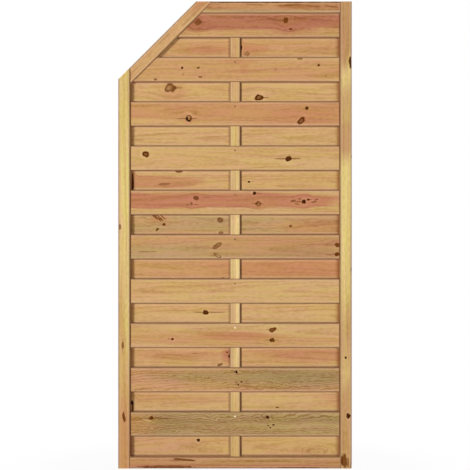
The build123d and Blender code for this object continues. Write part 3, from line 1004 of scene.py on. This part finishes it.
def make_steel_group():
    """Zinc-plated steel: bright and dull spangle under a brown stain."""
    nodes, source, sink = new_group(
        "Plated steel",
        vectors=("Place",),
        values=("Stain",),
        outputs=("Color", "Roughness", "Metallic", "Height"),
    )
    spangle = nodes.noise(source["Place"], SPANGLE, seed=1.0, detail=2.0)
    blotch = nodes.noise(source["Place"], BLOTCHES, seed=2.0, detail=2.0)
    blotch = nodes.fade(blotch, *BLOTCH_RANGE, *BLOTCH_STAIN)
    stain = nodes.math("MULTIPLY", source["Stain"], blotch)
    zinc = nodes.blend(nodes.fade(spangle, *DULL_RANGE), ZINC, DULL_ZINC)
    hidden = nodes.fade(stain, *HIDDEN_METAL)
    nodes.feed(sink["Color"], nodes.blend(hidden, zinc, RUST))
    nodes.feed(sink["Metallic"], nodes.math("SUBTRACT", 1.0, hidden))
    roughness = nodes.fade(spangle, *SPANGLE_RANGE, *ZINC_ROUGHNESS)
    nodes.feed(sink["Roughness"], nodes.math("MULTIPLY_ADD", stain, STAIN_ROUGHNESS, roughness))
    nodes.feed(sink["Height"], spangle)
    return nodes.tree


KNOT_GROUP = make_knot_group()
HEARTWOOD_GROUP = make_heartwood_group()
EDGE_GROUP = make_edge_group()
PINE_GROUP = make_pine_group()
STEEL_GROUP = make_steel_group()


def new_material(name):
    """A material with an empty node tree."""
    material = bpy.data.materials.new(name)
    material.use_nodes = True
    material.node_tree.nodes.clear()
    return material, Nodes(material.node_tree)


def add_surface(nodes, finish, bump_distance, metallic, specular):
    """The shader itself, fed by the colour, roughness and height of a finish."""
    bump = nodes.add(
        "ShaderNodeBump",
        {"Height": finish["Height"], "Distance": bump_distance, "Strength": BUMP_STRENGTH},
    )
    shader = nodes.add(
        "ShaderNodeBsdfPrincipled",
        {
            "Base Color": finish["Color"],
            "Roughness": finish["Roughness"],
            "Normal": bump.outputs["Normal"],
            "Metallic": metallic,
            "Specular IOR Level": specular,
        },
    )
    nodes.add("ShaderNodeOutputMaterial", {"Surface": shader.outputs["BSDF"]})


def make_pine(name, wood, seed, middle, edges, turn=LEVEL, flip=1.0):
    """The pine of one piece. Its grain runs along X once the piece is centred and turned about Y."""
    material, nodes = new_material(name)
    to_grain = Matrix.Rotation(turn, 3, "Y") @ Matrix.Diagonal((1.0, flip, 1.0))
    mapping = {
        "Vector": nodes.add("ShaderNodeTexCoord").outputs["Object"],
        "Location": -(to_grain @ middle),
        "Rotation": (0.0, turn, 0.0),
        "Scale": (1.0, flip, 1.0),
    }
    grain = nodes.add("ShaderNodeMapping", mapping).outputs[0]
    fine_wobble = nodes.noise(grain, FINE_WOBBLE, seed, detail=2.0)
    broad_wobble = nodes.noise(grain, BROAD_WOBBLE, seed, detail=2.0)
    slow_wobble = nodes.noise(grain, SLOW_WOBBLE, seed, detail=2.0)

    # Knots first, because the rest of the grain bends round them
    masks = dict.fromkeys(KNOT_MASKS, 0.0)
    for knot in wood.knots:
        wobble = fine_wobble if knot.length < LARGE_KNOT else broad_wobble
        eye = nodes.group(KNOT_GROUP, {"Grain": grain, "Wobble": wobble, **as_inputs(knot), **masks})
        masks = {mask: eye[mask] for mask in KNOT_MASKS}

    heart = 0.0
    for patch in wood.patches:
        inputs = {"Grain": grain, "Bend": masks["Bend"], "Wobble": slow_wobble, "Heart": heart}
        heart = nodes.group(HEARTWOOD_GROUP, {**inputs, **as_inputs(patch)})["Heart"]

    # Painted shade along the edges and at the ends, and a painted highlight inside them
    edge = nodes.group(EDGE_GROUP, {"Grain": grain, "Wobble": fine_wobble, **as_inputs(edges)})
    inputs = {
        "Grain": grain,
        "Seed": seed,
        "Heart": heart,
        "Edge Shade": edge["Dark"],
        "Edge Highlight": edge["Pale"],
        "Stain": edge["Stain"],
        "Tone": linear(wood.tone),
        "Blush": linear(wood.blush),
        "Heart Tone": linear(wood.heart),
    }
    pine = nodes.group(PINE_GROUP, {**inputs, **as_inputs(wood), **masks})
    add_surface(nodes, pine, PINE_BUMP, metallic=0.0, specular=PINE_SPECULAR)
    return material


def make_steel(name):
    """Plated steel for nails and screws."""
    material, nodes = new_material(name)
    place = nodes.add("ShaderNodeTexCoord").outputs["Object"]
    stain = nodes.add("ShaderNodeAttribute", attribute_name="stain").outputs["Fac"]
    steel = nodes.group(STEEL_GROUP, {"Place": place, "Stain": stain})
    add_surface(nodes, steel, STEEL_BUMP, metallic=steel["Metallic"], specular=STEEL_SPECULAR)
    return material


def dress(node_name, material):
    """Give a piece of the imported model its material."""
    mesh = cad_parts[node_name].data
    mesh.materials.clear()
    mesh.materials.append(material)


def middle_of(node_name):
    """The middle of a piece's box."""
    low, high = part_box(node_name)
    return (low + high) / 2


def board_name(layer, number):
    """The name of a board of a layer, counted from the top."""
    return f"{layer}_board_{number:02d}"


def dress_boards(layer, woods, flip, seed_shift):
    """Dress one layer of boards; flip turns the grain's depth so that it grows towards the batten."""
    for number, wood in enumerate(woods, start=1):
        name = board_name(layer, number)
        low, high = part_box(name)
        middle = Vector((0.0, (low.y + high.y) / 2, (low.z + high.z) / 2))
        half_size = (high - low) / 2
        edges = Edges(half_size.z, half_size.y, BOARD_LINE, COVERED_EDGE, HALF_OPENING, HALF_BATTEN)
        dress(name, make_pine(name, wood, number + seed_shift, middle, edges, flip=flip))


def dress_bar(name, wood, seed, middle, turn):
    """Dress an upright or level bar of the frame, or the batten."""
    low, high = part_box(name)
    half_size = (high - low) / 2
    edges = Edges(min(half_size.x, half_size.z), half_size.y, BAR_LINE)
    dress(name, make_pine(name, wood, seed, middle, edges, turn))


def extend_end(mesh, end, distance, scale):
    """Draw the round end face of a rod out along Z and scale its rim; give back the new end face."""
    end = bmesh.ops.extrude_discrete_faces(mesh, faces=[end])["faces"][0]
    bmesh.ops.translate(mesh, verts=end.verts, vec=(0.0, 0.0, distance))
    bmesh.ops.scale(mesh, verts=end.verts, vec=(scale, scale, 1.0))
    return end


def start_rod(mesh, diameter, height):
    """Start a rod with a round face; give back the face that stays and the end to draw out."""
    circle = bmesh.ops.create_circle(mesh, cap_ends=True, radius=diameter / 2, segments=ROUND_SEGMENTS)
    face = circle["verts"][0].link_faces[0]
    bmesh.ops.translate(mesh, verts=face.verts, vec=(0.0, 0.0, height))
    copy = bmesh.ops.duplicate(mesh, geom=[face])
    end = next(item for item in copy["geom"] if isinstance(item, bmesh.types.BMFace))
    return face, end


def add_nail(mesh):
    """A nail on the origin: a domed head above it, its point down +Z."""
    top, end = start_rod(mesh, NAIL_HEAD_DIAMETER, -NAIL_HEAD_HEIGHT)
    end = extend_end(mesh, end, NAIL_HEAD_HEIGHT, 1.0)
    end = extend_end(mesh, end, 0.0, NAIL_DIAMETER / NAIL_HEAD_DIAMETER)
    end = extend_end(mesh, end, NAIL_LENGTH - NAIL_POINT_LENGTH, 1.0)
    extend_end(mesh, end, NAIL_POINT_LENGTH, POINT_SHARPNESS)
    bmesh.ops.remove_doubles(mesh, verts=mesh.verts, dist=MERGE_DISTANCE)
    bmesh.ops.bevel(
        mesh,
        geom=list(top.edges),
        offset=NAIL_DOME,
        affect="EDGES",
        segments=DOME_SEGMENTS,
        profile=0.5,
        material=-1,
    )


def add_screw(mesh, length):
    """A countersunk screw on the origin: a star socket in its head, its point down +Z."""
    top, end = start_rod(mesh, SCREW_HEAD_DIAMETER, SCREW_SINK)
    end = extend_end(mesh, end, SCREW_HEAD_HEIGHT, SCREW_DIAMETER / SCREW_HEAD_DIAMETER)
    end = extend_end(mesh, end, length - SCREW_HEAD_HEIGHT - SCREW_POINT_LENGTH, 1.0)
    extend_end(mesh, end, SCREW_POINT_LENGTH - SCREW_SINK, POINT_SHARPNESS)
    bmesh.ops.remove_doubles(mesh, verts=mesh.verts, dist=MERGE_DISTANCE)
    bmesh.ops.inset_individual(mesh, faces=[top], thickness=(SCREW_HEAD_DIAMETER - STAR_DIAMETER) / 2)
    verts_per_point = ROUND_SEGMENTS // STAR_POINTS
    for index, vert in enumerate(list(top.verts)):
        if index % verts_per_point >= verts_per_point // 2:
            bmesh.ops.scale(mesh, verts=[vert], vec=(STAR_WAIST, STAR_WAIST, 1.0))
    extend_end(mesh, top, STAR_DEPTH, STAR_FLOOR)


def make_fasteners(name, places, add_fastener, node_name, material):
    """One piece of several fasteners, each at a place, pointing in a direction and stained as given."""
    mesh = bmesh.new()
    mesh.verts.layers.float.new("stain")
    for place, direction, stain in places:
        one = bmesh.new()
        stains = one.verts.layers.float.new("stain")
        add_fastener(one)
        for vert in one.verts:
            vert[stains] = stain
        bmesh.ops.recalc_face_normals(one, faces=one.faces)
        turned = direction.to_track_quat("Z", "Y").to_matrix().to_4x4()
        bmesh.ops.transform(one, matrix=Matrix.Translation(place) @ turned, verts=one.verts)
        scratch = bpy.data.meshes.new("fastener")
        one.to_mesh(scratch)
        one.free()
        mesh.from_mesh(scratch)
        bpy.data.meshes.remove(scratch)
    data = bpy.data.meshes.new(name)
    mesh.to_mesh(data)
    mesh.free()
    data.materials.append(material)
    data.shade_smooth()
    data.set_sharp_from_angle(angle=SHARP_ANGLE)
    piece = bpy.data.objects.new(name, data)
    bpy.context.scene.collection.objects.link(piece)
    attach(piece, "root")
    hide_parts(node_name)


def nail_places(layer, stains, inward):
    """Where each nail of a layer stands on its board, the way that it points, and how stained it is."""
    places = []
    for number, stain in enumerate(stains, start=1):
        low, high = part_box(board_name(layer, number))
        face = low.y if inward > 0 else high.y
        place = Vector((0.0, face, high.z - NAIL_EDGE_DISTANCE))
        places.append((place, Vector((0.0, inward, 0.0)), stain))
    return places


# Wood of the boards, the frame and the batten
dress_boards("front", FRONT_BOARDS, flip=1.0, seed_shift=0.0)
dress_boards("back", BACK_BOARDS, flip=-1.0, seed_shift=BACK_SEED_SHIFT)
bar_seeds = count(FIRST_BAR_SEED)
uprights = (("left_stile", LEFT_STILE), ("right_stile", RIGHT_STILE), ("centre_batten", CENTRE_BATTEN))
for name, wood in uprights:
    dress_bar(name, wood, next(bar_seeds), Vector((middle_of(name).x, 0.0, panel_high.z)), UPRIGHT)
for name, wood in (("top_rail", TOP_RAIL), ("bottom_rail", BOTTOM_RAIL)):
    dress_bar(name, wood, next(bar_seeds), Vector((0.0, 0.0, middle_of(name).z)), LEVEL)
slope_middle = (SLOPE_FOOT + SLOPE_TOP) / 2 + SLOPE_INWARD * BAR_FACE / 2
slope_edges = Edges(BAR_FACE / 2, BAR_FACE / 2, BAR_LINE)
slope_pine = make_pine("sloped_rail", SLOPED_RAIL, next(bar_seeds), slope_middle, slope_edges, SLOPED)
dress("sloped_rail", slope_pine)

# Nails
steel = make_steel("plated_steel")
for layer, stains, inward in (("front", FRONT_NAIL_STAINS, 1.0), ("back", BACK_NAIL_STAINS, -1.0)):
    places = nail_places(layer, stains, inward)
    make_fasteners(f"round_{layer}_nails", places, add_nail, f"{layer}_nails", steel)

# Screws: long ones through the stiles into the rails, short ones at the two ends of the slope
low_joint = middle_of("bottom_rail").z
high_joint = middle_of("top_rail").z
long_places = (
    (Vector((panel_low.x, 0.0, low_joint)), RIGHTWARD, SCREW_STAIN),
    (Vector((panel_high.x, 0.0, low_joint)), -RIGHTWARD, SCREW_STAIN),
    (Vector((panel_high.x, 0.0, high_joint)), -RIGHTWARD, SCREW_STAIN),
)
short_places = (
    (SLOPE_FOOT + SLOPE_ALONG * SLOPE_SCREW_DISTANCE, SLOPE_INWARD, SCREW_STAIN),
    (SLOPE_TOP + RIGHTWARD * SLOPE_SCREW_DISTANCE, DOWNWARD, SCREW_STAIN),
)
for kind, places, length in (
    ("frame", long_places, LONG_SCREW_LENGTH),
    ("slope", short_places, SHORT_SCREW_LENGTH),
):
    add_one = partial(add_screw, length=length)
    make_fasteners(f"round_{kind}_screws", places, add_one, f"{kind}_screws", steel)


def seen_directly(nodes):
    """1 for rays from the camera and for reflections, 0 for light that falls on the panel."""
    path = nodes.add("ShaderNodeLightPath").outputs
    either = nodes.math("MAXIMUM", path["Is Camera Ray"], path["Is Glossy Ray"])
    return nodes.math("MAXIMUM", either, path["Is Transmission Ray"])


def make_floor():
    """A pale floor that fades into the white background away from the panel."""
    mesh = bmesh.new()
    bmesh.ops.create_grid(mesh, x_segments=1, y_segments=1, size=FLOOR_SIZE / 2)
    bmesh.ops.translate(mesh, verts=mesh.verts, vec=(0.0, 0.0, -FLOOR_DROP))
    data = bpy.data.meshes.new("floor")
    mesh.to_mesh(data)
    mesh.free()
    material, nodes = new_material("studio_floor")
    distance = nodes.add("ShaderNodeVectorMath", operation="LENGTH")
    nodes.feed(distance.inputs[0], nodes.add("ShaderNodeTexCoord").outputs["Object"])
    far = nodes.fade(distance.outputs["Value"], *FLOOR_FADE)
    glow = nodes.fade(far, 0.0, 1.0, *FLOOR_GLOW)
    matt = nodes.add("ShaderNodeBsdfDiffuse", {"Color": FLOOR_GREY})
    white = nodes.add("ShaderNodeEmission", {"Color": WHITE, "Strength": 1.0})
    lit = nodes.add("ShaderNodeMixShader", {"Fac": nodes.math("MULTIPLY", glow, seen_directly(nodes))})
    nodes.feed(lit.inputs[1], matt.outputs[0])
    nodes.feed(lit.inputs[2], white.outputs[0])
    nodes.add("ShaderNodeOutputMaterial", {"Surface": lit.outputs[0]})
    data.materials.append(material)
    floor = bpy.data.objects.new("floor", data)
    bpy.context.scene.collection.objects.link(floor)


def light_world():
    """A white background, with a little even light."""
    world = bpy.data.worlds.new("studio")
    world.use_nodes = True
    world.node_tree.nodes.clear()
    nodes = Nodes(world.node_tree)
    strength = nodes.fade(seen_directly(nodes), 0.0, 1.0, SKY_LIGHT, 1.0)
    background = nodes.add("ShaderNodeBackground", {"Color": WHITE, "Strength": strength})
    nodes.add("ShaderNodeOutputWorld", {"Surface": background.outputs[0]})
    bpy.context.scene.world = world


def add_lamp(name, place, size, power):
    """A soft square lamp aimed at the panel's middle."""
    lamp = bpy.data.lights.new(name, "AREA")
    lamp.size = size
    lamp.energy = power
    holder = bpy.data.objects.new(name, lamp)
    holder.location = place
    holder.rotation_euler = (PANEL_MIDDLE - place).to_track_quat("-Z", "Y").to_euler()
    bpy.context.scene.collection.objects.link(holder)


def add_camera():
    """A camera square to the panel's front, level with its middle."""
    camera = bpy.data.cameras.new("camera")
    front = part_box("left_stile")[0].y
    camera.sensor_width = SENSOR_WIDTH
    camera.lens = SENSOR_WIDTH * (CAMERA_DISTANCE + front) / VIEW_WIDTH
    holder = bpy.data.objects.new("camera", camera)
    holder.location = PANEL_MIDDLE - Vector((0.0, CAMERA_DISTANCE, 0.0))
    holder.rotation_euler = (math.radians(90), 0.0, 0.0)
    bpy.context.scene.collection.objects.link(holder)
    bpy.context.scene.camera = holder


make_floor()
light_world()
add_lamp("key_lamp", KEY_PLACE, KEY_SIZE, KEY_POWER)
add_lamp("fill_lamp", FILL_PLACE, FILL_SIZE, FILL_POWER)
add_lamp("back_lamp", BACK_PLACE, BACK_SIZE, BACK_POWER)
add_camera()
bpy.context.scene.view_settings.view_transform = "Standard"
